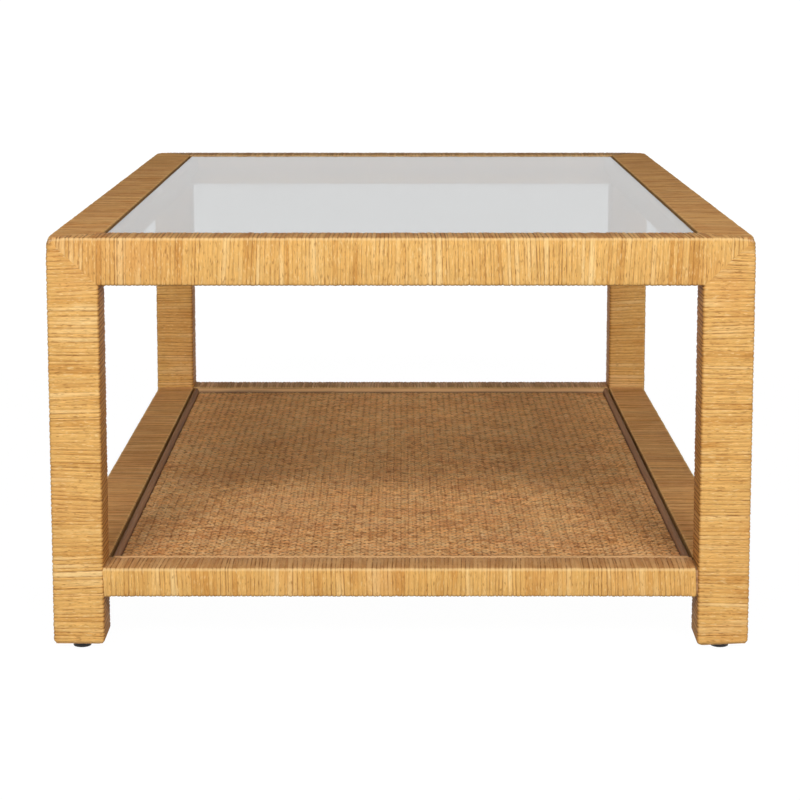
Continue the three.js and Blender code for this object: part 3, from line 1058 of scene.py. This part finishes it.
class TABLE_OT_set_glass(Operator):
    """Set the glass sheet, with its corners rounded and its arrises ground"""

    bl_idname = "table.set_glass"
    bl_label = "Set the glass"

    def execute(self, context):
        glass = context.scene.table_glass
        low, high = corners_of("glass_top")
        piece = box_piece("glass_sheet", low, high)
        edit(piece)
        choose("EDGE", lambda edge: abs((edge.verts[0].co - edge.verts[1].co)[Z]) > 0.001)
        bevel_edges(glass.corner_radius, 8)
        choose("EDGE", lambda edge: len(edge.link_faces) == 2 and sorted(
            abs(face.normal[Z]) > 0.9 for face in edge.link_faces) == [False, True])
        bevel_edges(glass.arris, 2)
        close_edit()
        surface(piece, clear_glass(), 20)
        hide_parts("glass_top")
        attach(piece, "glass")
        return {"FINISHED"}


class TABLE_OT_finish_timber(Operator):
    """Finish the cores, ledges, cleats, bearer and panel in bare wood"""

    bl_idname = "table.finish_timber"
    bl_label = "Finish the timber"

    def execute(self, context):
        pale, deep = srgb(196, 152, 104), srgb(150, 106, 64)
        boards = {
            axis: grained_wood(f"hardwood_grain_{letter}", pale, deep, axis)
            for axis, letter in ((X, "x"), (Y, "y"), (Z, "z"))
        }
        refinish((f"leg_core_{corner}" for corner in CORNERS), boards[Z])
        for side, (across, along) in SIDES.items():
            axis = X if along else Y
            kinds = ("top_rail_core", "shelf_rail_core", "glass_ledge", "shelf_cleat")
            refinish((f"{kind}_{side}" for kind in kinds), boards[axis])
        refinish(("shelf_bearer",), boards[X])
        veneer = grained_wood("plywood_face", srgb(206, 170, 122), srgb(178, 138, 92), Y, 0.6)
        refinish(("shelf_panel",), veneer)
        return {"FINISHED"}


class TABLE_OT_finish_feet(Operator):
    """Finish the levelling feet, their inserts and the glass bumpers"""

    bl_idname = "table.finish_feet"
    bl_label = "Finish the feet and bumpers"

    def execute(self, context):
        rows, ends = ("front", "middle", "back"), ("left", "right")
        bumpers = [f"{row}_{end}" for row in rows for end in ends]
        finishes = (
            ("foot_pad", CORNERS, moulded_plastic("black_plastic", srgb(38, 36, 36), 0.5)),
            ("foot_stem", CORNERS, turned_metal("zinc_plate", srgb(188, 190, 192), 0.32)),
            ("foot_insert", CORNERS, turned_metal("brass", srgb(204, 164, 92), 0.35)),
            ("glass_bumper", bumpers, moulded_plastic("clear_rubber", srgb(226, 228, 226), 0.4)),
        )
        for kind, places, material in finishes:
            refinish((f"{kind}_{place}" for place in places), material)
        return {"FINISHED"}


class TABLE_OT_dress_stage(Operator):
    """Lay the floor, hang the lamps and set the camera"""

    bl_idname = "table.dress_stage"
    bl_label = "Dress the stage"

    def execute(self, context):
        settings = context.scene.table_stage
        start_clean()
        bpy.ops.mesh.primitive_plane_add(size=160, location=(0, 0, -0.0005))
        floor = context.object
        floor.name = floor.data.name = "floor"
        floor.data.materials.append(self.white_floor())
        for side, across in (("left", -1), ("right", 1)):
            self.lamp(f"front_lamp_{side}", (1.15 * across, -4.1, 2.45), 1.1, settings.front_power)
            self.lamp(f"back_lamp_{side}", (1.9 * across, 4.0, 0.7), 1.2, settings.back_power)
        self.studio_light(settings)
        start_clean()
        bpy.ops.object.camera_add(location=CAMERA_PLACE, rotation=(math.pi / 2 - CAMERA_DIP, 0, 0))
        camera = context.object
        camera.name = "camera"
        camera.data.sensor_width = 36
        camera.data.lens = settings.lens
        camera.data.shift_x, camera.data.shift_y = CAMERA_SHIFT
        context.scene.camera = camera
        context.scene.view_settings.view_transform = "Standard"
        return {"FINISHED"}

    def lamp(self, name, place, size, power):
        """A square soft lamp turned towards the table; the ones behind don't show in the glass."""
        start_clean()
        turn = (Vector((0, 0, 0.25)) - Vector(place)).to_track_quat("-Z", "Y").to_euler()
        bpy.ops.object.light_add(type="AREA", location=place, rotation=turn)
        lamp = bpy.context.object
        lamp.name = lamp.data.name = name
        lamp.data.size = size
        lamp.data.energy = power
        lamp.visible_glossy = place[1] < 0

    def white_floor(self):
        """A floor that looks white, and still takes the table's shadow."""
        look = Look("white_floor")
        look.set(Base_Color=(0.6, 0.6, 0.6), Roughness=0.9, Specular_IOR_Level=0.1)
        path = look.node("ShaderNodeLightPath").outputs
        seen = look.sum("MAXIMUM", path["Is Transmission Ray"], path["Is Glossy Ray"])
        seen = look.times(seen, look.sum("LESS_THAN", path["Diffuse Depth"], 0.5))
        seen = look.sum("MAXIMUM", seen, path["Is Camera Ray"])
        place = look.node("ShaderNodeTexCoord").outputs["Object"]
        away = look.node("ShaderNodeVectorMath", {0: place}, operation="LENGTH").outputs["Value"]
        share = look.times(seen, look.remap(away, 1.4, 3.2, 0.93, 1.0))
        glow = look.node("ShaderNodeEmission", {"Color": (1, 1, 1), "Strength": 1.06})
        look.overlay(share, glow)
        return look.material

    def studio_light(self, settings):
        """A dim warm surround with a pale backdrop low behind the table, mirrored all round."""
        world = bpy.data.worlds.new("studio")
        bpy.context.scene.world = world
        world.use_nodes = True
        nodes = Nodes(world.node_tree)
        way = nodes.node("ShaderNodeTexCoord").outputs["Generated"]
        way = nodes.node("ShaderNodeSeparateXYZ", {0: way}).outputs
        tones = [(v, v * 0.96, v * 0.9) for v in (settings.low_sky, settings.high_sky)]
        sky = nodes.ramp(way["Z"], (0.2, 0.6), tones)
        path = nodes.node("ShaderNodeLightPath").outputs
        mirrored = nodes.sum("GREATER_THAN", path["Is Glossy Ray"], path["Diffuse Depth"])
        around = nodes.sum("MAXIMUM", nodes.remap(way["Y"], 0.86, 0.95), mirrored)
        backdrop = nodes.times(around, nodes.remap(way["Z"], 0.2, 0.13))
        colour = nodes.mix(backdrop, sky, [settings.horizon] * 3)
        through = nodes.sum("GREATER_THAN", path["Is Transmission Ray"], path["Diffuse Depth"])
        seen = nodes.sum("MAXIMUM", path["Is Camera Ray"], through)
        background = nodes.tree.nodes["Background"]
        nodes.feed(background.inputs["Color"], nodes.mix(seen, colour, (1, 1, 1)))
        background.inputs["Strength"].default_value = 1.0


class TABLE_PT_panel(Panel):
    """Everything that makes the table, in order"""

    bl_label = "Rattan Table"
    bl_idname = "TABLE_PT_panel"
    bl_space_type = "VIEW_3D"
    bl_region_type = "UI"
    bl_category = "Rattan Table"

    def draw(self, context):
        for name in SETTINGS:
            box = self.layout.box()
            group = getattr(context.scene, name)
            for prop in group.bl_rna.properties:
                if prop.identifier not in ("name", "rna_type"):
                    box.prop(group, prop.identifier)
        for maker in MAKERS:
            self.layout.operator(maker.bl_idname)


SETTINGS = {
    "table_rattan": RattanSettings,
    "table_shelf": ShelfSettings,
    "table_glass": GlassSettings,
    "table_stage": StageSettings,
}
MAKERS = (
    TABLE_OT_wind_legs,
    TABLE_OT_wind_top_rails,
    TABLE_OT_wind_shelf_rails,
    TABLE_OT_weave_mat,
    TABLE_OT_lay_mouldings,
    TABLE_OT_set_glass,
    TABLE_OT_finish_timber,
    TABLE_OT_finish_feet,
    TABLE_OT_dress_stage,
)


def register():
    for group in SETTINGS.values():
        bpy.utils.register_class(group)
    for name, group in SETTINGS.items():
        setattr(bpy.types.Scene, name, PointerProperty(type=group))
    for maker in (*MAKERS, TABLE_PT_panel):
        bpy.utils.register_class(maker)


def unregister():
    for maker in (TABLE_PT_panel, *reversed(MAKERS)):
        bpy.utils.unregister_class(maker)
    for name in SETTINGS:
        delattr(bpy.types.Scene, name)
    for group in reversed(SETTINGS.values()):
        bpy.utils.unregister_class(group)


def main():
    register()
    bpy.ops.table.wind_legs()
    bpy.ops.table.wind_top_rails()
    bpy.ops.table.wind_shelf_rails()
    bpy.ops.table.weave_mat()
    bpy.ops.table.lay_mouldings()
    bpy.ops.table.set_glass()
    bpy.ops.table.finish_timber()
    bpy.ops.table.finish_feet()
    bpy.ops.table.dress_stage()


if __name__ == "__main__":
    main()
